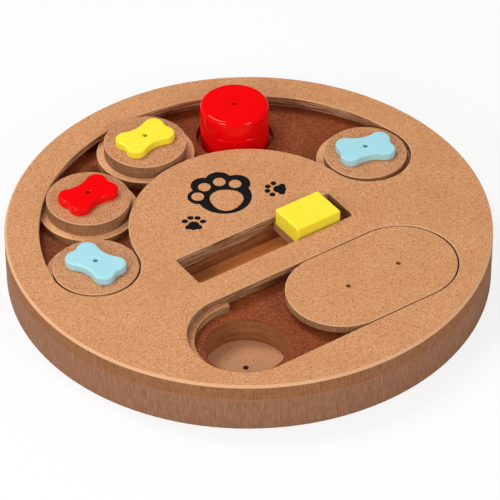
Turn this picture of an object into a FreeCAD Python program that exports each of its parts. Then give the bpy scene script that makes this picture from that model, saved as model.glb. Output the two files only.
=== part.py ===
import FreeCAD, Part
import Sketcher
import math
import os

# Dog puzzle feeder: a round board of two MDF discs with treats under what slides or lifts.
# Units are millimetres. The origin is at the centre of the underside, and +Z is up.
# +X is to the right and +Y away from someone who faces the oval lid.

SIZES = {
    # Board
    "board_radius": 125.0,
    "base_thickness": 19.0,
    "plate_thickness": 9.0,
    "rim_chamfer": 1.2,
    "seam_chamfer": 0.4,
    "mouth_chamfer": 0.4,
    # Ring channel, as far as the middle of each of its round ends
    "rim_width": 17.7,
    "channel_width": 45.8,
    "channel_start": 42.2,
    "channel_end": 204.0,
    # Round sliders
    "runner_overlap": 2.9,
    "runner_thickness": 4.0,
    "runner_clearance": 1.2,
    "runner_headroom": 1.2,
    "disc_clearance": 1.1,
    "disc_chamfer": 0.4,
    "tall_disc_extra": 2.5,
    "blue_left_to_red": 0.56,
    "red_to_yellow": 3.36,
    "yellow_to_peg": 6.76,
    "blue_right_angle": 43.4,
    # Bone knobs
    "bone_thickness": 4.3,
    "bone_lobe_radius": 5.6,
    "bone_lobe_along": 9.2,
    "bone_lobe_across": 4.4,
    "bone_side_radius": 10.0,
    "bone_end_radius": 5.6,
    "bone_chamfer": 0.5,
    "blue_left_turn": -38.0,
    "red_turn": 42.0,
    "yellow_turn": 40.0,
    "blue_right_turn": 16.0,
    # Brads
    "pin_radius": 1.25,
    "pin_fit": 0.05,
    "pin_sink": 1.8,
    # Treat pockets in the base
    "pocket_margin": 2.3,
    "ring_pocket_depth": 6.0,
    "pocket_floor": 5.0,
    "far_pocket_share": 0.592,
    "pilot_radius": 1.5,
    "pilot_depth": 2.5,
    # Peg
    "peg_clearance": 2.4,
    "peg_joint_rise": 1.0,
    "peg_cap_height": 11.5,
    "peg_chamfer": 1.6,
    "peg_joint_chamfer": 0.6,
    # Oval recess
    "slide_angle": 34.4,
    "recess_x": -1.69,
    "recess_y": -85.38,
    "recess_length": 95.8,
    "recess_radius": 29.0,
    "ledge_gap": 1.0,
    "ledge_inset": 2.5,
    "ledge_shift": 1.3,
    # Lid and the groove of its runner
    "lid_overlap": 2.6,
    "groove_start": 8.5,
    "groove_reach": 8.2,
    "groove_corner": 3.0,
    "lid_clearance": 0.7,
    "lid_end_gap": 1.0,
    "lid_length": 37.3,
    "lid_pin_left": 4.2,
    "lid_pin_right": 35.2,
    "lid_runner_length": 34.0,
    "lid_tongue_radius": 12.0,
    "lid_runner_gap": 0.4,
    # Slot and block
    "slot_start": 2.5,
    "slot_across": 55.3,
    "slot_length": 94.8,
    "slot_width": 22.0,
    "slot_corner": 1.5,
    "slot_undercut": 1.25,
    "trough_depth": 6.0,
    "block_length": 27.0,
    "block_clearance": 0.75,
    "block_proud": 5.3,
    "block_neck": 0.2,
    "block_rounding": 0.8,
    "block_start": 60.7,
    "block_runner_gap": 0.5,
}

doc = FreeCAD.newDocument("puzzle_feeder")
sheet = doc.addObject("Spreadsheet::Sheet", "sizes")
for row, (alias, value) in enumerate(SIZES.items(), start=1):
    sheet.set(f"A{row}", alias)
    sheet.set(f"B{row}", str(value))
    sheet.setAlias(f"B{row}", alias)
doc.recompute()

parts = []


def bind(thing, prop, formula):
    """Ties a property of an object to a formula in the sheet's aliases."""
    for alias in sorted(SIZES, key=len, reverse=True):
        formula = formula.replace("{" + alias + "}", "sizes." + alias)
    thing.setExpression(prop, formula)


def number(formula):
    """The present value of the same kind of formula, to draw with what the ties then hold."""
    filled = formula
    for alias, value in SIZES.items():
        filled = filled.replace("{" + alias + "}", repr(float(value)))
    return FreeCAD.Units.Quantity(filled).Value


def new_body(name):
    body = doc.addObject("PartDesign::Body", name)
    body.Label = name
    parts.append(body)
    return body


def origin_plane(body, role):
    return next(f for f in body.Origin.OriginFeatures if f.Role == role)


def new_sketch(body, name, plane="XY_Plane", x="0", y="0", z="0", turn=None):
    """A sketch on one of the body's own planes, moved along it and turned by formulas."""
    sketch = body.newObject("Sketcher::SketchObject", name)
    sketch.AttachmentSupport = (origin_plane(body, plane), [""])
    sketch.MapMode = "FlatFace"
    for axis, formula in (("x", x), ("y", y), ("z", z)):
        if formula != "0":
            bind(sketch, f"AttachmentOffset.Base.{axis}", formula)
    if turn is not None:
        up = FreeCAD.Vector(0, 1, 0) if plane == "XZ_Plane" else FreeCAD.Vector(0, 0, 1)
        offset = sketch.AttachmentOffset
        sketch.AttachmentOffset = FreeCAD.Placement(offset.Base, FreeCAD.Rotation(up, 1.0))
        bind(sketch, "AttachmentOffset.Rotation.Angle", turn)
    return sketch


def tie(sketch, kind, *where, formula=None):
    """Adds one constraint, and ties its value to a formula if it has one."""
    if formula is None:
        return sketch.addConstraint(Sketcher.Constraint(kind, *where))
    index = sketch.addConstraint(Sketcher.Constraint(kind, *where, number(formula)))
    bind(sketch, f"Constraints[{index}]", formula)
    return index


def draw_circle(sketch, radius, x="0", y="0"):
    centre = FreeCAD.Vector(number(x), number(y), 0)
    circle = sketch.addGeometry(Part.Circle(centre, FreeCAD.Vector(0, 0, 1), number(radius)))
    tie(sketch, "Radius", circle, formula=radius)
    tie(sketch, "DistanceX", -1, 1, circle, 3, formula=x)
    tie(sketch, "DistanceY", -1, 1, circle, 3, formula=y)
    return circle


def draw_rounded_box(sketch, left, right, half_width, corner):
    """A rectangle from left to right, symmetric about the sketch's X axis, with round corners."""
    x0, x1 = number(left), number(right)
    half, r = number(half_width), number(corner)
    centres = [(x1 - r, half - r), (x0 + r, half - r), (x0 + r, r - half), (x1 - r, r - half)]
    arcs = []
    for quarter, (cx, cy) in enumerate(centres):
        circle = Part.Circle(FreeCAD.Vector(cx, cy, 0), FreeCAD.Vector(0, 0, 1), r)
        start = quarter * math.pi / 2
        arcs.append(sketch.addGeometry(Part.ArcOfCircle(circle, start, start + math.pi / 2)))
    for quarter, arc in enumerate(arcs):
        after = arcs[(quarter + 1) % 4]
        begin = sketch.getPoint(arc, 2)
        end = sketch.getPoint(after, 1)
        line = sketch.addGeometry(Part.LineSegment(begin, end))
        tie(sketch, "Tangent", arc, 2, line, 1)
        tie(sketch, "Tangent", line, 2, after, 1)
        tie(sketch, "Horizontal" if quarter % 2 == 0 else "Vertical", line)
    tie(sketch, "Radius", arcs[0], formula=corner)
    for arc in arcs[1:]:
        tie(sketch, "Equal", arcs[0], arc)
    tie(sketch, "DistanceX", -1, 1, arcs[0], 1, formula=right)
    tie(sketch, "DistanceX", -1, 1, arcs[1], 2, formula=left)
    tie(sketch, "DistanceY", -1, 1, arcs[0], 2, formula=half_width)
    tie(sketch, "DistanceY", -1, 1, arcs[2], 2, formula=f"-({half_width})")


def draw_oval(sketch, left, right, radius):
    """Two half circles about points on the sketch's X axis, joined by straight sides."""
    x0, x1, r = number(left), number(right), number(radius)
    normal = FreeCAD.Vector(0, 0, 1)
    quarter = math.pi / 2
    far = Part.Circle(FreeCAD.Vector(x1, 0, 0), normal, r)
    near = Part.Circle(FreeCAD.Vector(x0, 0, 0), normal, r)
    right_arc = sketch.addGeometry(Part.ArcOfCircle(far, -quarter, quarter))
    left_arc = sketch.addGeometry(Part.ArcOfCircle(near, quarter, 3 * quarter))
    for begin, end in ((right_arc, left_arc), (left_arc, right_arc)):
        side = Part.LineSegment(sketch.getPoint(begin, 2), sketch.getPoint(end, 1))
        line = sketch.addGeometry(side)
        tie(sketch, "Tangent", begin, 2, line, 1)
        tie(sketch, "Tangent", line, 2, end, 1)
    tie(sketch, "Radius", right_arc, formula=radius)
    tie(sketch, "PointOnObject", right_arc, 3, -1)
    tie(sketch, "PointOnObject", left_arc, 3, -1)
    tie(sketch, "DistanceX", -1, 1, right_arc, 3, formula=right)
    tie(sketch, "DistanceX", -1, 1, left_arc, 3, formula=left)


def draw_polygon(sketch, corners):
    """A closed outline of straight lines whose corners are pairs of formulas."""
    points = [FreeCAD.Vector(number(x), number(y), 0) for x, y in corners]
    lines = []
    for here, there in zip(points, points[1:] + points[:1]):
        lines.append(sketch.addGeometry(Part.LineSegment(here, there)))
    for index, line in enumerate(lines):
        tie(sketch, "Coincident", line, 2, lines[(index + 1) % len(lines)], 1)
        tie(sketch, "DistanceX", -1, 1, line, 1, formula=corners[index][0])
        tie(sketch, "DistanceY", -1, 1, line, 1, formula=corners[index][1])


def pad(body, sketch, name, height):
    feature = body.newObject("PartDesign::Pad", name)
    feature.Profile = sketch
    bind(feature, "Length", height)
    doc.recompute()
    return feature


def cut(body, sketch, name, depth=None, upwards=False):
    """A pocket from the sketch's height down, or up. With no depth it goes through all."""
    before = body.Shape.Volume
    feature = body.newObject("PartDesign::Pocket", name)
    feature.Profile = sketch
    feature.Reversed = upwards
    if depth is None:
        feature.Type = "ThroughAll"
    else:
        bind(feature, "Length", depth)
    doc.recompute()
    if body.Shape.Volume >= before - 0.001:
        raise RuntimeError(f"{body.Label}: {name} cuts nothing")
    return feature


def groove(body, sketch, name, angle=None):
    """Turns a profile about the sketch's upright axis, all the way or through an angle."""
    before = body.Shape.Volume
    feature = body.newObject("PartDesign::Groove", name)
    feature.Profile = sketch
    feature.ReferenceAxis = (sketch, ["V_Axis"])
    if angle is None:
        feature.Angle = 360.0
    else:
        feature.Midplane = True
        bind(feature, "Angle", angle)
    doc.recompute()
    if body.Shape.Volume >= before - 0.001:
        raise RuntimeError(f"{body.Label}: {name} cuts nothing")
    return feature


def edges_where(body, test):
    """Names of the edges of the body's present shape that pass a test."""
    return [f"Edge{i}" for i, edge in enumerate(body.Shape.Edges, start=1) if test(edge)]


def lies_at(edge, height):
    box = edge.BoundBox
    return abs(box.ZMin - height) < 1e-4 and abs(box.ZMax - height) < 1e-4


def chamfer_edges(body, name, size, test):
    names = edges_where(body, test)
    if not names:
        raise RuntimeError(f"{body.Label}: {name} finds no edge")
    base = body.Tip
    feature = body.newObject("PartDesign::Chamfer", name)
    feature.Base = (base, names)
    bind(feature, "Size", size)
    doc.recompute()
    return feature


def place(body, x="0", y="0", z="0", turn=None):
    if turn is not None:
        body.Placement = FreeCAD.Placement(FreeCAD.Vector(), FreeCAD.Rotation(FreeCAD.Vector(0, 0, 1), 1.0))
        bind(body, "Placement.Rotation.Angle", turn)
    bind(body, "Placement.Base.x", x)
    bind(body, "Placement.Base.y", y)
    bind(body, "Placement.Base.z", z)


BOARD_TOP = "({base_thickness} + {plate_thickness})"
GROOVE_TOP = "({runner_thickness} + {runner_headroom})"
HOLE_RADIUS = "({pin_radius} + {pin_fit})"

RING_RADIUS = "({board_radius} - {rim_width} - {channel_width} / 2)"
RUNNER_RADIUS = "({channel_width} / 2 + {runner_overlap})"
GROOVE_RADIUS = f"({RUNNER_RADIUS} + {{runner_clearance}})"
DISC_RADIUS = "({channel_width} / 2 - {disc_clearance})"
POCKET_RADIUS = "({channel_width} / 2 - {pocket_margin})"
PEG_RADIUS = f"({POCKET_RADIUS} - {{peg_clearance}})"
PEG_FOOT = "({plate_thickness} + {ring_pocket_depth} + {peg_joint_rise})"

LID_RADIUS = "({recess_radius} - {lid_clearance})"
LID_START = "({recess_length} + {lid_clearance} - {lid_end_gap} - {lid_length})"
LID_THICKNESS = f"({{plate_thickness}} - {GROOVE_TOP} + {{lid_runner_gap}})"
LID_GROOVE_HALF = "({recess_radius} + {lid_overlap})"
LID_GROOVE_END = "({recess_length} + {groove_reach})"

BLOCK_HALF = "({slot_width} / 2 - {block_clearance})"
BLOCK_UNDERSIDE = f"({GROOVE_TOP} - {{block_runner_gap}} + {{block_neck}})"
BLOCK_THICKNESS = f"({{plate_thickness}} + {{block_proud}} - {BLOCK_UNDERSIDE})"


def step_round(start, first, second, gap):
    """The angle of the next piece in the channel, whose circle keeps a gap from the one before it."""
    return f"({start} - 2 * asin(({first} + {second} + {gap}) / (2 * {RING_RADIUS})))"


BLUE_LEFT_ANGLE = "({channel_end} * 1 deg)"
RED_ANGLE = step_round(BLUE_LEFT_ANGLE, RUNNER_RADIUS, RUNNER_RADIUS, "{blue_left_to_red}")
YELLOW_ANGLE = step_round(RED_ANGLE, RUNNER_RADIUS, RUNNER_RADIUS, "{red_to_yellow}")
PEG_ANGLE = step_round(YELLOW_ANGLE, RUNNER_RADIUS, PEG_RADIUS, "{yellow_to_peg}")
BLUE_RIGHT_ANGLE = "({blue_right_angle} * 1 deg)"
FAR_POCKET_ANGLE = f"({YELLOW_ANGLE} + {{far_pocket_share}} * ({RED_ANGLE} - {YELLOW_ANGLE}))"


def on_slide(along, across):
    """Board coordinates of a point given along and across the direction in which lid and block slide."""
    x = f"({{recess_x}} + ({along}) * cos({{slide_angle}}) - ({across}) * sin({{slide_angle}}))"
    y = f"({{recess_y}} + ({along}) * sin({{slide_angle}}) + ({across}) * cos({{slide_angle}}))"
    return x, y


def on_ring(angle):
    """Board coordinates of a point on the middle of the ring channel."""
    return f"({RING_RADIUS} * cos({angle}))", f"({RING_RADIUS} * sin({angle}))"


# Base disc: pockets under the ring, deep ones at the ends of the oval recess, a trough under the slot
def make_base():
    body = new_body("base_disc")
    outline = new_sketch(body, "base_outline")
    draw_circle(outline, "{board_radius}")
    pad(body, outline, "base_blank", "{base_thickness}")
    rim = lambda edge: lies_at(edge, SIZES["base_thickness"]) or lies_at(edge, 0.0)
    chamfer_edges(body, "base_edges", "{seam_chamfer}", rim)
    for name, angle in (
        ("start", "{channel_start}"),
        ("peg", PEG_ANGLE),
        ("far", FAR_POCKET_ANGLE),
        ("end", "{channel_end}"),
    ):
        x, y = on_ring(angle)
        sketch = new_sketch(body, f"{name}_pocket_outline", x=x, y=y, z="{base_thickness}")
        draw_circle(sketch, POCKET_RADIUS)
        cut(body, sketch, f"{name}_pocket", "{ring_pocket_depth}")
    for name, along in (("left", "0"), ("right", "{recess_length}")):
        x, y = on_slide(along, "0")
        sketch = new_sketch(body, f"{name}_deep_outline", x=x, y=y, z="{base_thickness}")
        draw_circle(sketch, POCKET_RADIUS)
        cut(body, sketch, f"{name}_deep_pocket", "{base_thickness} - {pocket_floor}")
        pilot = new_sketch(body, f"{name}_pilot_outline", x=x, y=y, z="{pocket_floor}")
        draw_circle(pilot, "{pilot_radius}")
        cut(body, pilot, f"{name}_pilot_hole", "{pilot_depth}")
    x, y = on_slide("{slot_start}", "{slot_across}")
    sketch = new_sketch(body, "trough_outline", x=x, y=y, z="{base_thickness}", turn="{slide_angle}")
    draw_rounded_box(sketch, "0", "{slot_length}", "{slot_width} / 2", "{slot_corner}")
    cut(body, sketch, "trough", "{trough_depth}")
    return body


# Top plate: ring channel, block slot and oval recess, all undercut so that the runners stay in
def make_plate():
    body = new_body("top_plate")
    outline = new_sketch(body, "plate_outline")
    draw_circle(outline, "{board_radius}")
    pad(body, outline, "plate_blank", "{plate_thickness}")
    top = SIZES["plate_thickness"]
    chamfer_edges(body, "rim", "{rim_chamfer}", lambda edge: lies_at(edge, top))
    chamfer_edges(body, "seam_edge", "{seam_chamfer}", lambda edge: lies_at(edge, 0.0))

    # Ring channel: a T-shaped profile carried round the board, and turned on itself at both ends
    over = "({plate_thickness} + 1)"
    inner = f"({RING_RADIUS} - {{channel_width}} / 2)"
    outer = f"({RING_RADIUS} + {{channel_width}} / 2)"
    low_in = f"({RING_RADIUS} - {GROOVE_RADIUS})"
    low_out = f"({RING_RADIUS} + {GROOVE_RADIUS})"
    tee = [
        (low_in, "-1"),
        (low_out, "-1"),
        (low_out, GROOVE_TOP),
        (outer, GROOVE_TOP),
        (outer, over),
        (inner, over),
        (inner, GROOVE_TOP),
        (low_in, GROOVE_TOP),
    ]
    middle = "({channel_start} + {channel_end}) / 2"
    profile = new_sketch(body, "channel_profile", plane="XZ_Plane", turn=middle)
    draw_polygon(profile, tee)
    groove(body, profile, "channel", "{channel_end} - {channel_start}")
    half_tee = [
        ("0", "-1"),
        (GROOVE_RADIUS, "-1"),
        (GROOVE_RADIUS, GROOVE_TOP),
        ("{channel_width} / 2", GROOVE_TOP),
        ("{channel_width} / 2", over),
        ("0", over),
    ]
    for name, angle in (("start", "{channel_start}"), ("end", "{channel_end}")):
        x, y = on_ring(angle)
        profile = new_sketch(body, f"channel_{name}_profile", plane="XZ_Plane", x=x, z=f"-{y}")
        draw_polygon(profile, half_tee)
        groove(body, profile, f"channel_{name}_round")

    # Oval recess: wide from the top down to the ledge, narrow through it, and undercut from below
    x, y = on_slide("0", "0")
    wide = new_sketch(body, "recess_outline", x=x, y=y, z="{plate_thickness}", turn="{slide_angle}")
    draw_oval(wide, "0", "{recess_length}", "{recess_radius}")
    cut(body, wide, "recess", f"{LID_THICKNESS} + {{ledge_gap}}")
    narrow = new_sketch(body, "well_outline", x=x, y=y, z="{plate_thickness}", turn="{slide_angle}")
    well_end = "{recess_length} - {ledge_shift}"
    draw_oval(narrow, "{ledge_shift}", well_end, "{recess_radius} - {ledge_inset}")
    cut(body, narrow, "well")
    below = new_sketch(body, "lid_groove_outline", x=x, y=y, turn="{slide_angle}")
    draw_rounded_box(below, "{groove_start}", LID_GROOVE_END, LID_GROOVE_HALF, "{groove_corner}")
    cut(body, below, "lid_groove", GROOVE_TOP, upwards=True)

    # Block slot, and the wider groove of its runner
    x, y = on_slide("{slot_start}", "{slot_across}")
    slot = new_sketch(body, "slot_outline", x=x, y=y, z="{plate_thickness}", turn="{slide_angle}")
    draw_rounded_box(slot, "0", "{slot_length}", "{slot_width} / 2", "{slot_corner}")
    cut(body, slot, "slot")
    below = new_sketch(body, "slot_groove_outline", x=x, y=y, turn="{slide_angle}")
    half = "{slot_width} / 2 + {slot_undercut}"
    draw_rounded_box(below, "-{slot_undercut}", "{slot_length} + {slot_undercut}", half, "{slot_corner}")
    cut(body, below, "slot_groove", GROOVE_TOP, upwards=True)

    # Hand-eased edges round every mouth in the top face
    face = 2 * number("{board_radius} - {rim_chamfer}")
    mouth = lambda edge: lies_at(edge, top) and edge.BoundBox.XLength < face - 1
    chamfer_edges(body, "mouths", "{mouth_chamfer}", mouth)
    place(body, z="{base_thickness}")
    return body


# Round sliders: a runner under the lips, a cover disc, a bone-shaped knob and the brad that holds them
def make_runner(name, angle):
    body = new_body(f"{name}_runner")
    outline = new_sketch(body, f"{name}_runner_outline")
    draw_circle(outline, RUNNER_RADIUS)
    pad(body, outline, f"{name}_runner_blank", "{runner_thickness}")
    x, y = on_ring(angle)
    place(body, x, y, "{base_thickness}")


def disc_height(is_tall):
    flush = "{plate_thickness} - {runner_thickness}"
    return f"({flush} + {{tall_disc_extra}})" if is_tall else f"({flush})"


def make_disc(name, angle, is_tall):
    height = disc_height(is_tall)
    body = new_body(f"{name}_disc")
    outline = new_sketch(body, f"{name}_disc_outline")
    draw_circle(outline, DISC_RADIUS)
    pad(body, outline, f"{name}_disc_blank", height)
    top = number(height)
    chamfer_edges(body, f"{name}_disc_rim", "{disc_chamfer}", lambda edge: lies_at(edge, top))
    hole = new_sketch(body, f"{name}_disc_hole_outline", z=height)
    draw_circle(hole, HOLE_RADIUS)
    cut(body, hole, f"{name}_disc_hole")
    x, y = on_ring(angle)
    place(body, x, y, "{base_thickness} + {runner_thickness}")


def draw_bone(sketch):
    """Four lobes joined by hollow arcs: deep ones on the long sides, shallow ones at the ends.

    Each hollow arc touches its two lobes, so its centre lies at the sum of the radii from theirs.
    """
    along, across = number("{bone_lobe_along}"), number("{bone_lobe_across}")
    lobe = number("{bone_lobe_radius}")
    side, end = number("{bone_side_radius}"), number("{bone_end_radius}")
    side_y = across + math.sqrt((side + lobe) ** 2 - along**2)
    end_x = along + math.sqrt((end + lobe) ** 2 - across**2)
    lobes = [(along, across), (-along, across), (-along, -across), (along, -across)]
    hollows = [(0, side_y), (-end_x, 0), (0, -side_y), (end_x, 0)]
    normal = FreeCAD.Vector(0, 0, 1)

    def heading(start, goal):
        return math.atan2(goal[1] - start[1], goal[0] - start[0])

    lobe_arcs, hollow_arcs = [], []
    for i, centre in enumerate(lobes):
        begin = heading(centre, hollows[i - 1])
        finish = heading(centre, hollows[i])
        finish += 2 * math.pi if finish < begin else 0
        circle = Part.Circle(FreeCAD.Vector(*centre, 0), normal, lobe)
        lobe_arcs.append(sketch.addGeometry(Part.ArcOfCircle(circle, begin, finish)))
    for i, centre in enumerate(hollows):
        radius = side if i % 2 == 0 else end
        begin = heading(centre, lobes[(i + 1) % 4])
        finish = heading(centre, lobes[i])
        finish += 2 * math.pi if finish < begin else 0
        circle = Part.Circle(FreeCAD.Vector(*centre, 0), normal, radius)
        hollow_arcs.append(sketch.addGeometry(Part.ArcOfCircle(circle, begin, finish)))
    for i in range(4):
        tie(sketch, "Tangent", lobe_arcs[i], 2, hollow_arcs[i], 2)
        tie(sketch, "Tangent", hollow_arcs[i], 1, lobe_arcs[(i + 1) % 4], 1)
        sign_x = "" if lobes[i][0] > 0 else "-"
        sign_y = "" if lobes[i][1] > 0 else "-"
        tie(sketch, "DistanceX", -1, 1, lobe_arcs[i], 3, formula=sign_x + "{bone_lobe_along}")
        tie(sketch, "DistanceY", -1, 1, lobe_arcs[i], 3, formula=sign_y + "{bone_lobe_across}")
        tie(sketch, "Radius", lobe_arcs[i], formula="{bone_lobe_radius}")
        hollow = "{bone_side_radius}" if i % 2 == 0 else "{bone_end_radius}"
        tie(sketch, "Radius", hollow_arcs[i], formula=hollow)


def make_bone(name, angle, is_tall, turn):
    body = new_body(f"{name}_bone")
    outline = new_sketch(body, f"{name}_bone_outline")
    draw_bone(outline)
    pad(body, outline, f"{name}_bone_blank", "{bone_thickness}")
    top = SIZES["bone_thickness"]
    chamfer_edges(body, f"{name}_bone_rim", "{bone_chamfer}", lambda edge: lies_at(edge, top))
    hole = new_sketch(body, f"{name}_bone_hole_outline", z="{bone_thickness}")
    draw_circle(hole, HOLE_RADIUS)
    cut(body, hole, f"{name}_bone_hole")
    x, y = on_ring(angle)
    place(body, x, y, f"{{base_thickness}} + {{runner_thickness}} + {disc_height(is_tall)}", turn)


def make_pin(name, x, y, foot, length):
    """A straight steel brad without a head, from its foot up."""
    body = new_body(name)
    shank = new_sketch(body, f"{name}_outline")
    draw_circle(shank, "{pin_radius}")
    pad(body, shank, f"{name}_shank", length)
    place(body, x, y, foot)


def make_slider(name, angle, is_tall, turn):
    height = disc_height(is_tall)
    make_runner(name, angle)
    make_disc(name, angle, is_tall)
    make_bone(name, angle, is_tall, turn)
    x, y = on_ring(angle)
    foot = "{base_thickness} + {runner_thickness}"
    make_pin(f"{name}_pin", x, y, foot, f"{height} + {{bone_thickness}} - {{pin_sink}}")


# Peg: two turned pieces on one axis, standing on the floor of its pocket
def make_peg():
    x, y = on_ring(PEG_ANGLE)
    floor = "{base_thickness} - {ring_pocket_depth}"
    foot = new_body("peg_foot")
    outline = new_sketch(foot, "peg_foot_outline")
    draw_circle(outline, PEG_RADIUS)
    pad(foot, outline, "peg_foot_blank", PEG_FOOT)
    top = number(PEG_FOOT)
    chamfer_edges(foot, "peg_joint", "{peg_joint_chamfer}", lambda edge: lies_at(edge, top))
    hole = new_sketch(foot, "peg_foot_hole_outline", z=PEG_FOOT)
    draw_circle(hole, HOLE_RADIUS)
    cut(foot, hole, "peg_foot_hole", f"{PEG_FOOT} / 2")
    place(foot, x, y, floor)

    cap = new_body("peg_cap")
    outline = new_sketch(cap, "peg_cap_outline")
    draw_circle(outline, PEG_RADIUS)
    pad(cap, outline, "peg_cap_blank", "{peg_cap_height}")
    crown = SIZES["peg_cap_height"]
    chamfer_edges(cap, "peg_cap_rim", "{peg_chamfer}", lambda edge: lies_at(edge, crown))
    hole = new_sketch(cap, "peg_cap_hole_outline", z="{peg_cap_height}")
    draw_circle(hole, HOLE_RADIUS)
    cut(cap, hole, "peg_cap_hole")
    place(cap, x, y, f"{floor} + {PEG_FOOT}")

    depth = f"{PEG_FOOT} / 2"
    make_pin("peg_pin", x, y, f"{floor} + {depth}", f"{depth} + {{peg_cap_height}} - {{pin_sink}}")


# Oval lid: a flush plate on a runner whose wings stay under the lips of the recess
def make_lid():
    x, y = on_slide(LID_START, "0")
    plate = new_body("lid_plate")
    outline = new_sketch(plate, "lid_outline")
    draw_oval(outline, "0", "{lid_length}", LID_RADIUS)
    pad(plate, outline, "lid_blank", LID_THICKNESS)
    top = number(LID_THICKNESS)
    chamfer_edges(plate, "lid_rim", "{mouth_chamfer}", lambda edge: lies_at(edge, top))
    for side in ("left", "right"):
        hole = new_sketch(plate, f"lid_hole_{side}", z=LID_THICKNESS)
        draw_circle(hole, HOLE_RADIUS, x=f"{{lid_pin_{side}}}")
        cut(plate, hole, f"lid_hole_{side}_cut")
    place(plate, x, y, f"{BOARD_TOP} - {LID_THICKNESS}", "{slide_angle}")

    runner = new_body("lid_runner")
    right = f"{LID_GROOVE_END} - {{lid_runner_gap}} - {LID_START}"
    left = f"{right} - {{lid_runner_length}}"
    height = f"{GROOVE_TOP} - {{lid_runner_gap}}"
    wings = new_sketch(runner, "lid_wings_outline")
    draw_rounded_box(wings, left, right, f"{LID_GROOVE_HALF} - {{lid_runner_gap}}", "{groove_corner}")
    pad(runner, wings, "lid_wings", height)
    tongue = new_sketch(runner, "lid_tongue_outline")
    draw_oval(tongue, "{lid_pin_left}", f"{left} + {{groove_corner}}", "{lid_tongue_radius}")
    pad(runner, tongue, "lid_tongue", height)
    for side in ("left", "right"):
        hole = new_sketch(runner, f"lid_runner_hole_{side}", z=height)
        draw_circle(hole, HOLE_RADIUS, x=f"{{lid_pin_{side}}}")
        cut(runner, hole, f"lid_runner_hole_{side}_cut")
    place(runner, x, y, "{base_thickness}", "{slide_angle}")

    for side in ("left", "right"):
        x, y = on_slide(f"{LID_START} + {{lid_pin_{side}}}", "0")
        make_pin(f"lid_pin_{side}", x, y, "{base_thickness}", "{plate_thickness} - {pin_sink}")


# Yellow block on its runner
def make_block():
    x, y = on_slide("{slot_start} + {block_start}", "{slot_across}")
    knob = new_body("block_knob")
    outline = new_sketch(knob, "block_outline")
    draw_rounded_box(outline, "0", "{block_length}", BLOCK_HALF, "{block_rounding}")
    pad(knob, outline, "block_blank", BLOCK_THICKNESS)
    top = number(BLOCK_THICKNESS)
    chamfer_edges(knob, "block_rim", "{block_rounding}", lambda edge: lies_at(edge, top))
    hole = new_sketch(knob, "block_hole_outline")
    draw_circle(hole, HOLE_RADIUS, x="{block_length} / 2")
    cut(knob, hole, "block_hole", f"{BLOCK_THICKNESS} / 2", upwards=True)
    place(knob, x, y, f"{{base_thickness}} + {BLOCK_UNDERSIDE}", "{slide_angle}")

    runner = new_body("block_runner")
    foot = new_sketch(runner, "block_runner_outline")
    half = "{slot_width} / 2 + {slot_undercut} - {block_runner_gap}"
    draw_rounded_box(foot, "0", "{block_length}", half, "{block_rounding}")
    pad(runner, foot, "block_runner_foot", f"{GROOVE_TOP} - {{block_runner_gap}}")
    neck = new_sketch(runner, "block_neck_outline")
    draw_rounded_box(neck, "0", "{block_length}", BLOCK_HALF, "{block_rounding}")
    pad(runner, neck, "block_neck", BLOCK_UNDERSIDE)
    hole = new_sketch(runner, "block_runner_hole_outline")
    draw_circle(hole, HOLE_RADIUS, x="{block_length} / 2")
    cut(runner, hole, "block_runner_hole", upwards=True)
    place(runner, x, y, "{base_thickness}", "{slide_angle}")

    x, y = on_slide("{slot_start} + {block_start} + {block_length} / 2", "{slot_across}")
    length = f"{BLOCK_UNDERSIDE} + {BLOCK_THICKNESS} / 2 - {{pin_sink}}"
    make_pin("block_pin", x, y, "{base_thickness} + {pin_sink} / 2", length)


make_base()
make_plate()
make_slider("blue_left", BLUE_LEFT_ANGLE, False, "{blue_left_turn}")
make_slider("red", RED_ANGLE, True, "{red_turn}")
make_slider("yellow", YELLOW_ANGLE, True, "{yellow_turn}")
make_slider("blue_right", BLUE_RIGHT_ANGLE, False, "{blue_right_turn}")
make_peg()
make_lid()
make_block()
doc.recompute()

for thing in doc.Objects:
    if "Invalid" in thing.State or "Error" in thing.State:
        raise RuntimeError(f"{thing.Name} failed: {thing.State}")
for part in parts:
    if part.Shape.isNull() or not part.Shape.isValid():
        raise RuntimeError(f"{part.Label} has no valid shape")
    if len(part.Shape.Solids) != 1:
        raise RuntimeError(f"{part.Label} is {len(part.Shape.Solids)} solids")

os.makedirs("parts", exist_ok=True)
for part in parts:
    part.Shape.exportStep(f"parts/{part.Label}.step")
    box = part.Shape.BoundBox
    print(f"{part.Label:18s} {part.Shape.Volume:10.1f} mm3  z {box.ZMin:6.2f} to {box.ZMax:6.2f}")
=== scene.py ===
# %% [markdown]
# # A dog puzzle feeder
#
# The real toy is a round board of two MDF discs glued face to face. The thin upper one has a ring
# channel, a slot and an oval recess routed through it; the thick lower one has the treat pockets.
# Sliders, a peg, an oval lid and a block hide the treats. The CAD frame already holds every piece
# at its real size, so this script gives the raw MDF its face, its routed edges and its fibres, and
# remakes the lacquered knobs, whose soft edges are what the eye goes to first.

import math

import bmesh
import bpy
import numpy as np
from mathutils import Matrix, Vector


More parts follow.
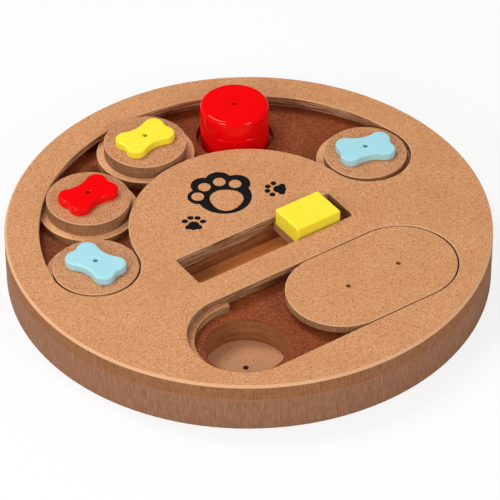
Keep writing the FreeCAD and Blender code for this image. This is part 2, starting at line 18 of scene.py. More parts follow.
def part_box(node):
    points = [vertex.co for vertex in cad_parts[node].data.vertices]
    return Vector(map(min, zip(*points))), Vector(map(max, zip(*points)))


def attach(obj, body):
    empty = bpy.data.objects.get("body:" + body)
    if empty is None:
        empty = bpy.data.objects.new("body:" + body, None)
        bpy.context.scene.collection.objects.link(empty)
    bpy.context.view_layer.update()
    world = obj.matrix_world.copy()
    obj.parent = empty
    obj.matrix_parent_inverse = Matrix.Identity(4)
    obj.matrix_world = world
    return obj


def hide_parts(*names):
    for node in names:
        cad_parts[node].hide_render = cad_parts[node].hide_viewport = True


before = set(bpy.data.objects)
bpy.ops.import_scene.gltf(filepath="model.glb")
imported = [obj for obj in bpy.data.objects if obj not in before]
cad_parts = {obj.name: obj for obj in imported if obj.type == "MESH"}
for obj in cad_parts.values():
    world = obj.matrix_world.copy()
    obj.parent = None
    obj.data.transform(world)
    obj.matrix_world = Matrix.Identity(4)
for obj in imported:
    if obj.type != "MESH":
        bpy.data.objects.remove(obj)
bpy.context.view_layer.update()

# %% [markdown]
# Every size below is in metres, as in Blender. Named in millimetres, they are easier to compare
# with a ruler on the real board, so one factor turns one into the other.

# %% Sizes that later cells share
MM = 0.001
_, plate_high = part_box("top_plate")
_, base_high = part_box("base_disc")
board_radius = plate_high.x
top = plate_high.z
seam = base_high.z
print(f"board {2 * board_radius / MM:.1f} mm across, top at {top / MM:.1f} mm, seam at {seam / MM:.1f} mm")

# %% [markdown]
# ## The camera
#
# The photograph is a product shot from far away with a long lens: circles on the board stay nearly
# equal ellipses from front to back. A camera fitted to the rim and to the two walls of the ring
# channel stands about 1.7 m from the board, 40 degrees above it, with a lens of 245 mm.

# %% Camera
ELEVATION = math.radians(39.877)
ROLL = math.radians(-0.231)
DISTANCE = 1726.9 * MM
AIM = np.array([0.61, -21.82, 28.0]) * MM
LENS = 245.34

camera_data = bpy.data.cameras.new("camera")
camera_data.lens = LENS
camera_data.sensor_width = 36.0
camera_data.clip_end = 10.0
camera = bpy.data.objects.new("camera", camera_data)
bpy.context.scene.collection.objects.link(camera)
camera.location = AIM + DISTANCE * np.array([0, -math.cos(ELEVATION), math.sin(ELEVATION)])
camera.rotation_mode = "XYZ"
camera.rotation_euler = (math.pi / 2 - ELEVATION, 0, 0)
camera.rotation_euler.rotate_axis("Z", ROLL)
bpy.context.scene.camera = camera
print("camera at", [round(v, 3) for v in camera.location])

# %% [markdown]
# ## Colours and nodes
#
# Colours are read off as sRGB hex values, while shaders work in linear light. One function turns
# the first into the second. Another adds a shader node, sets its values and links its inputs, so
# that each material below reads as a short recipe.


# %% Helpers for materials
def linear(hex_colour):
    """An sRGB hex colour in linear light: each channel c becomes ((c + 0.055) / 1.055) ** 2.4, or
    c / 12.92 near black."""
    c = np.array([int(hex_colour[i : i + 2], 16) for i in (1, 3, 5)]) / 255
    light = np.where(c <= 0.04045, c / 12.92, ((c + 0.055) / 1.055) ** 2.4)
    return (*light, 1.0)


def add(tree, kind, settings=None, **inputs):
    """Adds a node. settings are its own attributes; an input is a value, or a socket to link from.
    An input is named as on the node, with _ for a space, or by its number as i0, i1 and so on."""
    node = tree.nodes.new(kind)
    for name, value in (settings or {}).items():
        setattr(node, name, value)
    for name, value in inputs.items():
        key = int(name[1:]) if name[0] == "i" and name[1:].isdigit() else name.replace("_", " ")
        if isinstance(value, bpy.types.NodeSocket):
            tree.links.new(value, node.inputs[key])
        else:
            node.inputs[key].default_value = value
    return node


def new_material(name):
    """A material with one principled shader wired to its output."""
    material = bpy.data.materials.new(name)
    material.use_nodes = True
    tree = material.node_tree
    tree.nodes.clear()
    shader = tree.nodes.new("ShaderNodeBsdfPrincipled")
    output = tree.nodes.new("ShaderNodeOutputMaterial")
    tree.links.new(shader.outputs[0], output.inputs["Surface"])
    return material, tree, shader


def mix(tree, factor, first, second, blend="MIX"):
    """The colour socket of a Mix node: first where factor is 0, second where it is 1."""
    kind = {"data_type": "RGBA", "blend_type": blend}
    return add(tree, "ShaderNodeMix", kind, i0=factor, i6=first, i7=second).outputs[2]


def ramp(tree, value, low, high, to_low=0.0, to_high=1.0):
    """value between low and high, stretched to the range to_low to to_high and clamped there."""
    node = add(tree, "ShaderNodeMapRange", None, i0=value, i1=low, i2=high, i3=to_low, i4=to_high)
    return node.outputs[0]


print("mid grey in linear light", round(float(linear("#808080")[0]), 3))

# %% [markdown]
# ## MDF
#
# Medium density fibreboard is wood ground to fibres and pressed with resin. Its pressed face is
# smooth, warm tan and full of tiny lighter and darker flecks, with now and then a dark flake of
# bark. Where a router has cut it, the fibres stand open: the wall is dull and streaked up and down,
# and inside the board the layers of the sheet show as pale and dark lines. Corners are worn pale,
# and the paler colour on rounded and chamfered edges is also a painted highlight. Inner walls may
# take a darker, warmer tint, which is painted shade. The core is looser and paler than the skin,
# so the deeper a pocket goes, the paler its floor; sunk floors are painted paler also as painted
# light against the shade of their walls.
# The material tells face from wall by the normal's height, so one recipe serves every board, and
# each board gets its own colours.

# %% MDF material
FLECK = 0.75 * MM
FIBRE = 1.6 * MM
CLOUD = 28.0 * MM
FLAKE_SPACING = 7.5 * MM
STREAK = 0.45 * MM
STREAK_STRETCH = 12.5
LAYER = 0.9 * MM
LAYER_STRETCH = 20.0
TROUGH_FLOOR = seam - 6 * MM
POCKET_FLOOR = seam - 13 * MM


def noise(tree, place, size, **settings):
    """The value of a noise whose grains are about that size."""
    return add(tree, "ShaderNodeTexNoise", None, Vector=place, Scale=1 / size, **settings).outputs[0]


def stretched(tree, place, across, tall):
    """The place, counted in grains that are so far across in plan and so tall."""
    scale = (1 / across, 1 / across, 1 / tall)
    return add(tree, "ShaderNodeMapping", None, Vector=place, Scale=scale).outputs[0]


def pressed_face(tree, place, fleck, face, face_dark, skin, flake, depths):
    """The colour of a level face: flecks, fibres and clouds, then paler with depth, which is partly the
    paler core and partly painted light, then dark flakes.
    """
    fibre = noise(tree, place, FIBRE, Detail=4.0, Roughness=0.75, Distortion=0.6)
    cloud = noise(tree, place, CLOUD, Detail=2.0)
    colour = mix(tree, ramp(tree, fleck, 0.40, 0.58), linear(face_dark), linear(face))
    colour = mix(tree, ramp(tree, fleck, 0.60, 0.70, 0.0, 0.8), colour, linear(skin))
    colour = mix(tree, ramp(tree, fibre, 0.50, 0.72, 0.0, 0.4), colour, linear(skin))
    colour = mix(tree, ramp(tree, cloud, 0.40, 0.70, 0.0, 0.3), colour, linear(face_dark))
    height = add(tree, "ShaderNodeSeparateXYZ", None, i0=place).outputs["Z"]
    # Sunk floors turn paler: partly the paler core, partly painted light against the shade of their walls.
    for above, below, floor in depths:
        sunk = ramp(tree, height, above, below)
        colour = mix(tree, sunk, colour, mix(tree, 0.6, colour, linear(floor)))
    flat_cells = {"voronoi_dimensions": "2D"}
    flakes = add(tree, "ShaderNodeTexVoronoi", flat_cells, Vector=place, Scale=1 / FLAKE_SPACING)
    is_flake = ramp(tree, flakes.outputs["Distance"], 0.022, 0.068, 0.85, 0.0)
    return mix(tree, is_flake, colour, linear(flake))


def routed_wall(tree, place, streak, wall, wall_dark, skin, inner_wall_shade, layers):
    """The colour of a cut edge: streaks up and down and, inside the board, the sheet's layers and a
    darker, warmer tint that is painted shade.
    """
    across = stretched(tree, place, LAYER * LAYER_STRETCH, LAYER)
    layer = noise(tree, across, 1.0, Detail=3.0, Roughness=0.7)
    plan = add(tree, "ShaderNodeVectorMath", {"operation": "MULTIPLY"}, i0=place, i1=(1.0, 1.0, 0.0))
    away = add(tree, "ShaderNodeVectorMath", {"operation": "LENGTH"}, i0=plan.outputs[0])
    inside = ramp(tree, away.outputs["Value"], board_radius - 5 * MM, board_radius - 4 * MM, 1.0, 0.05)
    colour = mix(tree, ramp(tree, streak, 0.32, 0.68), linear(wall_dark), linear(wall))
    for low, high, strength, tone in ((0.42, 0.64, 0.75, skin), (0.50, 0.36, 0.5, wall_dark)):
        band = ramp(tree, layer, low, high, 0.0, strength * layers)
        band = add(tree, "ShaderNodeMath", {"operation": "MULTIPLY"}, i0=band, i1=inside).outputs[0]
        colour = mix(tree, band, colour, linear(tone))
    # Inner walls are multiplied by a darker, warmer tint: painted shade down in the recesses.
    return mix(tree, inside, colour, mix(tree, 1.0, colour, linear(inner_wall_shade), "MULTIPLY"))


def mdf(name, face, face_dark, wall, wall_dark, skin, inner_wall_shade="#FFFFFF", depths=(), layers=1.0):
    """Pressed and routed MDF. The tint after skin is multiplied into the inner walls as painted shade,
    darker and warmer down in the recesses. Each of depths is two heights and the colour of floors at
    the lower one: partly the paler core, partly painted light against the shade of their walls.
    layers is how plainly the layers of the sheet show in a cut across it."""
    material, tree, shader = new_material(name)
    place = add(tree, "ShaderNodeTexCoord").outputs["Object"]
    fleck = noise(tree, place, FLECK, Detail=2.0, Roughness=0.75)
    upright = stretched(tree, place, STREAK, STREAK * STREAK_STRETCH)
    streak = noise(tree, upright, 1.0, Detail=4.0, Roughness=0.75)
    normal = add(tree, "ShaderNodeNewGeometry").outputs["Normal"]
    up = add(tree, "ShaderNodeSeparateXYZ", None, i0=normal).outputs["Z"]
    level = add(tree, "ShaderNodeMath", {"operation": "ABSOLUTE"}, i0=up).outputs[0]
    # Tilted faces, the rounded and chamfered edges, are worn pale; this paler colour is also a painted
    # highlight.
    worn_and_highlight = ramp(tree, level, 0.25, 0.60)
    is_face = ramp(tree, level, 0.90, 0.985)

    colour = routed_wall(tree, place, streak, wall, wall_dark, skin, inner_wall_shade, layers)
    colour = mix(tree, worn_and_highlight, colour, mix(tree, fleck, linear(skin), linear(face)))
    pressed = pressed_face(tree, place, fleck, face, face_dark, skin, wall_dark, depths)
    colour = mix(tree, is_face, colour, pressed)
    tree.links.new(colour, shader.inputs["Base Color"])
    shader.inputs["Specular IOR Level"].default_value = 0.25
    tree.links.new(ramp(tree, is_face, 0.0, 1.0, 0.85, 0.62), shader.inputs["Roughness"])
    grain = add(tree, "ShaderNodeMix", {"data_type": "FLOAT"}, i0=is_face, i2=streak, i3=fleck)
    bump = add(tree, "ShaderNodeBump", None, Strength=0.4, Distance=0.12 * MM, Height=grain.outputs[0])
    tree.links.new(bump.outputs[0], shader.inputs["Normal"])
    return material


# The upper sheet, with its warm pressed face.
plate_mdf = mdf("mdf_pressed_and_routed", "#E2A371", "#C1804E", "#A8734B", "#7A4829", "#DDB48E")
# The base sheet is darker, a red brown with resin at the top; as its face shows only down in
# the recesses, that dark red brown is partly painted shade. Its inner walls get a darker, warmer
# tint as painted shade, and its floors turn paler the deeper it is cut, partly for the paler core
# and partly as painted light.
floors = ((seam, TROUGH_FLOOR, "#F49C54"), (TROUGH_FLOOR, POCKET_FLOOR, "#DEAE88"))
base_mdf = mdf(
    "mdf_base_sheet", "#A24B17", "#7A320D", "#AD7E5F", "#7B5038", "#A9866C", "#FFDCB0", depths=floors
)
# Thin sheet, for the runners, the cover discs and the lid: too thin for its layers to show.
runner_mdf = mdf("mdf_thin_runner", "#FABC8A", "#DA9C68", "#B4855C", "#805432", "#E6BC94", layers=0.2)
disc_mdf = mdf("mdf_cover_disc", "#DC9E6E", "#B07248", "#B48359", "#7C4F30", "#D9AE8A", layers=0.2)
lid_mdf = mdf("mdf_lid", "#E2A371", "#C1804E", "#B4875F", "#7E5235", "#DDB48E", layers=0.2)
print("mdf materials", [m.name for m in (plate_mdf, base_mdf, runner_mdf, disc_mdf, lid_mdf)])

# %% [markdown]
# ## Lacquer, ink and wire
#
# The knobs are wood under a thick coat of opaque, water-based toy lacquer: an even colour, a gloss
# that is a little softer than glass, and a surface that ripples very slightly, as brushed or dipped
# lacquer does. The prints are black ink that has sunk into the fibres, so it is dull and lets a few
# flecks through. The brads are drawn steel wire.


# %% Lacquer, ink and wire
RIPPLE = 6.0 * MM
GRIME = 0.8 * MM


def lacquer(name, colour, shade):
    """Opaque gloss lacquer on wood, slightly thinner and darker here and there."""
    material, tree, shader = new_material(name)
    place = add(tree, "ShaderNodeTexCoord").outputs["Object"]
    ripple = noise(tree, place, RIPPLE, Detail=2.0)
    tint = mix(tree, ramp(tree, ripple, 0.3, 0.7, 0.0, 0.25), linear(colour), linear(shade))
    tree.links.new(tint, shader.inputs["Base Color"])
    shader.inputs["Roughness"].default_value = 0.5
    shader.inputs["Specular IOR Level"].default_value = 0.0
    shader.inputs["Coat Weight"].default_value = 0.6
    shader.inputs["Coat Roughness"].default_value = 0.06
    shader.inputs["Coat IOR"].default_value = 1.45
    bump = add(tree, "ShaderNodeBump", None, Strength=0.1, Distance=0.08 * MM, Height=ripple)
    tree.links.new(bump.outputs[0], shader.inputs["Normal"])
    return material


def printed_ink():
    """Black ink sunk into the fibres: dull, with a few flecks of the board showing through."""
    material, tree, shader = new_material("screen_printed_ink")
    place = add(tree, "ShaderNodeTexCoord").outputs["Object"]
    fleck = noise(tree, place, FLECK, Detail=3.0, Roughness=0.7)
    worn = ramp(tree, fleck, 0.62, 0.80, 0.0, 0.35)
    tree.links.new(mix(tree, worn, linear("#141213"), linear("#4A382E")), shader.inputs["Base Color"])
    shader.inputs["Roughness"].default_value = 0.8
    shader.inputs["Specular IOR Level"].default_value = 0.15
    return material


def drawn_wire():
    """Bright steel wire, slightly grey with age."""
    material, tree, shader = new_material("drawn_steel_wire")
    place = add(tree, "ShaderNodeTexCoord").outputs["Object"]
    grime = noise(tree, place, GRIME, Detail=3.0)
    tint = mix(tree, grime, linear("#8C8782"), linear("#5B5550"))
    tree.links.new(tint, shader.inputs["Base Color"])
    shader.inputs["Metallic"].default_value = 1.0
    shader.inputs["Roughness"].default_value = 0.45
    return material


red_lacquer = lacquer("lacquer_red", "#FA060C", "#EA0307")
yellow_lacquer = lacquer("lacquer_yellow", "#FFF044", "#FFE21C")
blue_lacquer = lacquer("lacquer_light_blue", "#AEE2EC", "#9AD6E2")
ink = printed_ink()
wire = drawn_wire()
print("finishes", [m.name for m in (red_lacquer, yellow_lacquer, blue_lacquer, ink, wire)])

# %% [markdown]
# Each CAD node that stays in view takes the material of what it is made from. Only the slots
# change: the meshes are the CAD's own.

# %% Materials on the CAD nodes
SLIDERS = ("blue_left", "red", "yellow", "blue_right")


def paint(node, material):
    """Gives a CAD node that material and no other."""
    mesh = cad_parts[node].data
    mesh.materials.clear()
    mesh.materials.append(material)


paint("base_disc", base_mdf)
paint("top_plate", plate_mdf)
paint("lid_plate", lid_mdf)
paint("lid_runner", runner_mdf)
paint("block_runner", runner_mdf)
for slider in SLIDERS:
    paint(f"{slider}_runner", runner_mdf)
    paint(f"{slider}_disc", disc_mdf)
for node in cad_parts:
    if "pin" in node:
        paint(node, wire)
print("wire brads", sum("pin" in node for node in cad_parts))

# %% [markdown]
# ## The stage
#
# A plain pale floor under soft light, as in a catalogue. Two large lamps stand left and right in
# front, which is where the peg's two highlights come from, and a third above and behind throws the
# short shadows towards the viewer. The floor adds a little white of its own where the camera sees
# it directly, so that it reads as paper white but keeps the shadow.


# %% Floor, lamps and world
FLOOR_HALF = 4.0
PAPER_GLOW = 0.8
SKY = 0.36
SKY_IN_GLOSS = 0.04


def make_floor():
    """A square of white paper, which adds light of its own only where the camera sees it."""
    mesh = bpy.data.meshes.new("floor")
    corners = np.array([[-1, -1, 0], [1, -1, 0], [1, 1, 0], [-1, 1, 0]]) * FLOOR_HALF
    mesh.from_pydata(corners.tolist(), [], [[0, 1, 2, 3]])
    floor = bpy.data.objects.new("floor", mesh)
    bpy.context.scene.collection.objects.link(floor)
    material, tree, shader = new_material("paper_floor")
    shader.inputs["Base Color"].default_value = linear("#F4F4F4")
    shader.inputs["Roughness"].default_value = 0.9
    shader.inputs["Specular IOR Level"].default_value = 0.1
    to_camera = add(tree, "ShaderNodeLightPath").outputs["Is Camera Ray"]
    glow = add(tree, "ShaderNodeEmission", None, Color=(1, 1, 1, 1), Strength=1.0).outputs[0]
    seen = add(tree, "ShaderNodeMath", {"operation": "MULTIPLY"}, i0=to_camera, i1=PAPER_GLOW)
    both = add(tree, "ShaderNodeMixShader", None, i0=seen.outputs[0], i1=shader.outputs[0], i2=glow)
    output = next(n for n in tree.nodes if n.type == "OUTPUT_MATERIAL")
    tree.links.new(both.outputs[0], output.inputs["Surface"])
    mesh.materials.append(material)


def add_lamp(name, place, watts, width):
    """A square area lamp of that width, aimed at the middle of the board."""
    data = bpy.data.lights.new(name, "AREA")
    data.energy = watts
    data.size = width
    lamp = bpy.data.objects.new(name, data)
    bpy.context.scene.collection.objects.link(lamp)
    lamp.location = place
    toward = -np.array(place) / np.linalg.norm(place)
    lamp.rotation_mode = "QUATERNION"
    lamp.rotation_quaternion = Vector(toward).to_track_quat("-Z", "Y")


make_floor()
add_lamp("lamp_back", (-0.55, 0.45, 1.25), 8.5, 0.6)
add_lamp("lamp_left", (-0.85, -0.85, 0.65), 7.5, 0.4)
add_lamp("lamp_right", (0.85, -0.75, 0.65), 4.5, 0.45)
world = bpy.data.worlds.new("studio")
bpy.context.scene.world = world
world.use_nodes = True
backdrop = world.node_tree.nodes["Background"]
backdrop.inputs["Color"].default_value = (1, 1, 1, 1)
world_path = add(world.node_tree, "ShaderNodeLightPath")
dimmed = ramp(world.node_tree, world_path.outputs["Is Glossy Ray"], 0.0, 1.0, SKY, SKY_IN_GLOSS)
world.node_tree.links.new(dimmed, backdrop.inputs["Strength"])
bpy.context.scene.view_settings.view_transform = "Standard"
print("lamps", [lamp.name for lamp in bpy.data.lights], "sky", SKY)

# %% [markdown]
# ## Surfaces of the knobs
#
# A bone and a block are made the same way: an outline is cut from sheet, its hole is drilled, its
# edges are sanded round, and it is dipped. As a surface that is an outline carried along a closed
# profile: out along the underside, up the side, over the rounded edge, back to the hole and down
# through it. Each point is found by two numbers, one along the outline and one along the profile,
# so the whole surface is one grid.


# %% Helpers for surfaces
ROUND_STEPS = 9
SPAN_STEPS = 7


def grid_mesh(name, points, material, body, replaced, bored=True):
    """A closed piece from a grid of points, shape (rows, columns, 3).

    Rows run along the profile and columns round the outline, which closes on itself. A bored piece
    closes along the profile too; another ends in two poles, where each row's points fall together
    and are merged. The faces are turned outwards.
    """
    rows, columns, _ = points.shape
    index = np.arange(rows * columns).reshape(rows, columns)
    below, after = np.roll(index, -1, axis=0), np.roll(index, -1, axis=1)
    corner = np.roll(below, -1, axis=1)
    faces = np.stack([index, after, corner, below], axis=-1)
    faces = (faces if bored else faces[:-1]).reshape(-1, 4)
    mesh = bpy.data.meshes.new(name)
    mesh.from_pydata(points.reshape(-1, 3).tolist(), [], faces.tolist())
    work = bmesh.new()
    work.from_mesh(mesh)
    bmesh.ops.remove_doubles(work, verts=work.verts, dist=1e-7)
    bmesh.ops.dissolve_degenerate(work, edges=work.edges, dist=1e-8)
    bmesh.ops.recalc_face_normals(work, faces=work.faces)
    work.to_mesh(mesh)
    work.free()
    mesh.shade_smooth()
    mesh.materials.append(material)
    piece = bpy.data.objects.new(name, mesh)
    bpy.context.scene.collection.objects.link(piece)
    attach(piece, body)
    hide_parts(*replaced)
    print(name, len(mesh.polygons), "faces")


def dipped(outline, low, high, edge, foot, hole, dish):
    """The rows of a dipped piece, as an array (rows, columns, 3).

    outline is (columns, 2) about the middle. A row is the outline moved inwards by an inset, then
    drawn towards the hole's circle by a share; its height follows the profile. The rounded edge is
    a quarter circle of radius edge above and foot below, and the lacquer sinks by dish at the hole.
    """
    ahead = np.roll(outline, -1, axis=0) - np.roll(outline, 1, axis=0)
    normal = np.stack([ahead[:, 1], -ahead[:, 0]], axis=1)
    normal /= np.linalg.norm(normal, axis=1, keepdims=True)
    heading = np.arctan2(outline[:, 1], outline[:, 0])
    circle = np.stack([np.cos(heading), np.sin(heading)], axis=1)
    turn = np.linspace(0, math.pi / 2, ROUND_STEPS)
    share = np.linspace(0, 1, SPAN_STEPS)[1:]
    stretches = []

    def stretch(inset, blend, height, bore):
        """One stretch of the profile. A single number holds for all of its rows."""
        stretches.append(np.stack(np.broadcast_arrays(*np.atleast_1d(inset, blend, height, bore))))

    stretch(foot, share[::-1], low, hole)
    stretch(foot * (1 - np.sin(turn)), 0.0, low + foot * (1 - np.cos(turn)), hole)
    stretch(edge * (1 - np.cos(turn)), 0.0, high - edge * (1 - np.sin(turn)), hole)
    stretch(edge, share[:-1], high, hole + dish)
    if hole > 0:
        inwards = turn[1:]
        sunk = high - dish * (1 - np.cos(inwards))
        stretch(edge, 1.0, sunk, hole + dish * (1 - np.sin(inwards)))
    else:
        stretch(edge, 1.0, high, 0.0)
    inset, blend, height, bore = np.concatenate(stretches, axis=1)[..., None]
    outer = outline[None] - inset[..., None] * normal[None]
    flat = outer * (1 - blend[..., None]) + circle[None] * (bore * blend)[..., None]
    return np.concatenate([flat, np.broadcast_to(height[..., None], (*flat.shape[:2], 1))], axis=-1)


def turned(points, angle, centre):
    """Points turned about +Z by an angle and moved to a centre in plan."""
    c, s = math.cos(angle), math.sin(angle)
    placed = points.copy()
    placed[..., 0] = centre[0] + c * points[..., 0] - s * points[..., 1]
    placed[..., 1] = centre[1] + s * points[..., 0] + c * points[..., 1]
    return placed


def middle(node):
    """The middle of a CAD node's box in plan."""
    low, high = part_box(node)
    return ((low.x + high.x) / 2, (low.y + high.y) / 2)


print("bones stand at", [[round(v / MM, 1) for v in middle(f"{slider}_bone")] for slider in SLIDERS])

# %% [markdown]
# ## Bone knobs
#
# A cartoon bone is four round lobes joined by hollow curves, deep on the long sides and shallow at
# the ends. Seen from its middle, every ray meets the outline once, so the outline is a radius for
# each heading: on a lobe the far crossing of the ray with that circle, on a hollow the near one.

# %% Bone outline
LOBE = 5.6 * MM
LOBE_ALONG = 9.2 * MM
LOBE_ACROSS = 4.4 * MM
SIDE_HOLLOW = 15.0 * MM
END_HOLLOW = 5.6 * MM
BONE_EDGE = 1.0 * MM
BONE_FOOT = 0.4 * MM
BONE_DISH = 0.35 * MM
PIN_HOLE = 1.3 * MM
COLUMNS = 240


def bone_outline():
    """(COLUMNS, 2) points. With heading d, centre C and radius R, the crossings of a ray with a
    circle lie at C.d plus or minus the root of R^2 - |C|^2 + (C.d)^2."""
    side_y = LOBE_ACROSS + math.sqrt((SIDE_HOLLOW + LOBE) ** 2 - LOBE_ALONG**2)
    end_x = LOBE_ALONG + math.sqrt((END_HOLLOW + LOBE) ** 2 - LOBE_ACROSS**2)
    heading = np.linspace(0, 2 * math.pi, COLUMNS, endpoint=False)
    c, s = np.abs(np.cos(heading)), np.abs(np.sin(heading))

    def crossing(cx, cy, radius, sign):
        along = cx * c + cy * s
        return along + sign * np.sqrt(np.maximum(radius**2 - cx**2 - cy**2 + along**2, 0))

    def meets(cx, cy, radius):
        x = LOBE_ALONG + (cx - LOBE_ALONG) * LOBE / (LOBE + radius)
        y = LOBE_ACROSS + (cy - LOBE_ACROSS) * LOBE / (LOBE + radius)
        return math.atan2(y, x)

    angle = np.arctan2(s, c)
    radius = crossing(LOBE_ALONG, LOBE_ACROSS, LOBE, 1)
    radius = np.where(angle > meets(0, side_y, SIDE_HOLLOW), crossing(0, side_y, SIDE_HOLLOW, -1), radius)
    radius = np.where(angle < meets(end_x, 0, END_HOLLOW), crossing(end_x, 0, END_HOLLOW, -1), radius)
    return np.stack([radius * np.cos(heading), radius * np.sin(heading)], axis=1)


outline = bone_outline()
waist = 2 * outline[COLUMNS // 4, 1]
print("bone", np.round(np.ptp(outline, axis=0) / MM, 1), "mm, its waist", round(waist / MM, 1), "mm")

# %% [markdown]
# Four of them are cut from one stencil, and only their lacquer and the way they point differ. The
# hole in each is where its brad went in, punched below the surface before the knob was dipped.

# %% Four bones
BONE_TURNS = {"blue_left": -38.0, "red": 42.0, "yellow": 40.0, "blue_right": 16.0}
BONE_LACQUERS = {
    "blue_left": (blue_lacquer, "lacquer_blue"),
    "red": (red_lacquer, "lacquer_red"),
    "yellow": (yellow_lacquer, "lacquer_yellow"),
    "blue_right": (blue_lacquer, "lacquer_blue"),
}
for slider in SLIDERS:
    low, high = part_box(f"{slider}_bone")
    rows = dipped(outline, low.z, high.z, BONE_EDGE, BONE_FOOT, PIN_HOLE, BONE_DISH)
    placed = turned(rows, math.radians(BONE_TURNS[slider]), middle(f"{slider}_bone"))
    material, slot = BONE_LACQUERS[slider]
    grid_mesh(f"{slider}_lacquered_bone", placed, material, f"{slider}_slider", [f"{slider}_bone"])

# %% [markdown]
# ## The peg
#
# The peg is turned from two pieces of beech and dipped red. It is what the eye reads as glossy, so
# its cap has a generous rounded rim, and the joint has two small ones that catch a thin bright line
# between them. The same surface serves, with a circle for its outline.

# %% Peg cap and foot
CAP_EDGE = 2.4 * MM
JOINT_EDGE = 0.7 * MM
PEG_DISH = 0.3 * MM


def circle_outline(radius, columns=180):
    """(columns, 2) points at that radius, evenly spaced by heading."""
    heading = np.linspace(0, 2 * math.pi, columns, endpoint=False)
    return radius * np.stack([np.cos(heading), np.sin(heading)], axis=1)


for node, edge, foot in (("peg_cap", CAP_EDGE, JOINT_EDGE), ("peg_foot", JOINT_EDGE, JOINT_EDGE)):
    low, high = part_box(node)
    outline = circle_outline((high.x - low.x) / 2)
    rows = dipped(outline, low.z, high.z, edge, foot, PIN_HOLE, PEG_DISH)
    placed = turned(rows, 0.0, middle(node))
    grid_mesh(f"{node}_turned", placed, red_lacquer, "peg", [node])

# %% [markdown]
# ## The block
#
# A stick of rectangular section cut to length, its edges broken with sandpaper, then dipped yellow.
# Its outline has four straight sides and small round corners, turned to the direction in which it
# slides.

# %% Block
SLIDE_TURN = math.radians(34.4)
BLOCK_LENGTH = 27.0 * MM
BLOCK_WIDTH = 20.5 * MM
BLOCK_CORNER = 1.1 * MM
BLOCK_EDGE = 0.9 * MM
BLOCK_FOOT = 0.3 * MM


def rounded_rectangle(length, width, corner, steps=10, along=24):
    """Four quarter circles of radius corner about the corners, joined by evenly divided sides."""
    turn = np.linspace(0, math.pi / 2, steps)
    centres = np.array([[1, 1], [-1, 1], [-1, -1], [1, -1]]) * [length / 2 - corner, width / 2 - corner]
    arcs = []
    for quarter, centre in enumerate(centres):
        angle = turn + quarter * math.pi / 2
        arcs.append(centre + corner * np.stack([np.cos(angle), np.sin(angle)], axis=1))
    sides = []
    for arc, following in zip(arcs, arcs[1:] + arcs[:1]):
        share = np.linspace(0, 1, along + 1)[1:-1, None]
        sides += [arc, arc[-1] * (1 - share) + following[0] * share]
    return np.concatenate(sides)


low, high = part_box("block_knob")
plan = rounded_rectangle(BLOCK_LENGTH, BLOCK_WIDTH, BLOCK_CORNER)
rows = dipped(plan, low.z, high.z, BLOCK_EDGE, BLOCK_FOOT, 0.0, 0.0)
placed = turned(rows, SLIDE_TURN, middle("block_knob"))
grid_mesh("block_dipped", placed, yellow_lacquer, "block", ["block_knob"], bored=False)

# %% [markdown]
# ## Paw prints
#
# Three plain paw prints are screen printed on the board's middle. The big one is a dark paw whose
# pads are left bare; the small ones are the other way round. A print is a film of ink a few
# hundredths of a millimetre thick. Each is drawn as flat outlines: a union of circles has, for
# each heading from its middle, the farthest crossing of that ray with any of them. Filled and made
# a mesh, the film is laid on the face. These are generic paws with proportions of their own.

# %% Paw prints
FILM = 0.04 * MM


def union_outline(middle_point, circles, columns=200):
    """The outline round overlapping circles (x, y, radius), seen from a point inside them.

    For a heading d, a circle of centre C and radius R is left at C.d + root(R^2 - |C|^2 + (C.d)^2);
    the outline takes the largest of these.
    """
    heading = np.linspace(0, 2 * math.pi, columns, endpoint=False)
    direction = np.stack([np.cos(heading), np.sin(heading)], axis=1)
    circles = np.array(circles, float)
    centre = circles[:, :2] - middle_point
    along = direction @ centre.T
    inside = circles[:, 2] ** 2 - (centre**2).sum(axis=1) + along**2
    far = np.where(inside >= 0, along + np.sqrt(np.maximum(inside, 0)), 0)
    return middle_point + direction * far.max(axis=1)[:, None]


def oval(x, y, across, deep, columns=64):
    """(columns, 2) points round an oval of those half widths about (x, y)."""
    heading = np.linspace(0, 2 * math.pi, columns, endpoint=False)
    return np.stack([x + across * np.cos(heading), y + deep * np.sin(heading)], axis=1)


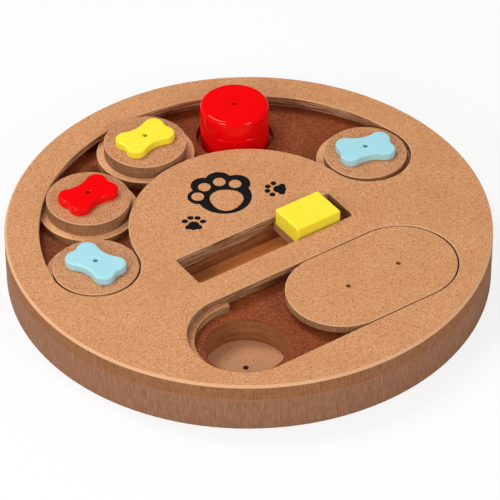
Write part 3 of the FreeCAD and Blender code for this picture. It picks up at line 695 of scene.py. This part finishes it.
def print_film(name, outlines):
    """Outlines in millimetres become one filled film on the top face. One within another is bare."""
    curve = bpy.data.curves.new(name, "CURVE")
    curve.dimensions = "2D"
    curve.fill_mode = "BOTH"
    curve.extrude = FILM / 2
    for points in outlines:
        spline = curve.splines.new("POLY")
        spline.points.add(len(points) - 1)
        flat = np.column_stack([points * MM, np.zeros(len(points)), np.ones(len(points))])
        spline.points.foreach_set("co", flat.ravel())
        spline.use_cyclic_u = True
    drawn = bpy.data.objects.new(name, curve)
    mesh = bpy.data.meshes.new_from_object(drawn)
    bpy.data.objects.remove(drawn)
    mesh.transform(Matrix.Translation((0, 0, top + FILM / 2)))
    mesh.materials.clear()
    mesh.materials.append(ink)
    film = bpy.data.objects.new(name, mesh)
    bpy.context.scene.collection.objects.link(film)
    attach(film, "board")
    print(name, len(mesh.polygons), "faces")


# The big print, in millimetres on the board: a dark paw of five circles, with a bare pad and toes.
PAW = np.array([-13.5, 22.5])
PAW_CIRCLES = [
    (-12.5, 21.5, 14.2), (-25.5, 21.2, 6.1), (-23.6, 30.4, 6.5), (-15.6, 34.6, 7.0), (-6.2, 32.0, 7.2)
]
PAD = np.array([-11.4, 18.7])
PAD_REACH = 8.6
PAD_TURN = math.radians(28)
TOES = ((-26.3, 21.3), (-22.9, 29.1), (-15.2, 33.4), (-7.0, 31.7))
heading = np.linspace(0, 2 * math.pi, 120, endpoint=False)
reach = PAD_REACH * (1 + 0.05 * np.cos(3 * (heading - PAD_TURN)))
pad = PAD + reach[:, None] * np.stack([np.cos(heading), np.sin(heading)], axis=1)
toes = [oval(x, y, 3.3, 3.4) for x, y in TOES]
print_film("paw_print_big", [union_outline(PAW, PAW_CIRCLES), pad, *toes])

# The small prints: a dark heel of four circles and four dark toes, about their own middle.
HEEL_CIRCLES = [(0, 0.3, 2.9), (-2.6, -1.4, 1.8), (2.6, -1.4, 1.8), (0, -1.7, 2.0)]
DIGITS = ((-4.6, 3.4), (-1.7, 6.1), (1.9, 6.0), (4.7, 3.2))
heel = union_outline(np.array([0, -0.4]), HEEL_CIRCLES, 120)
digits = [oval(x, y, 1.65, 1.5, 40) for x, y in DIGITS]
for name, x, y, turn in (("paw_print_lower", -28.1, -2.1, 0.0), ("paw_print_right", 15.9, 27.3, 88.0)):
    c, s = math.cos(math.radians(turn)), math.sin(math.radians(turn))
    print_film(name, [outline @ np.array([[c, s], [-s, c]]) + [x, y] for outline in (heel, *digits)])
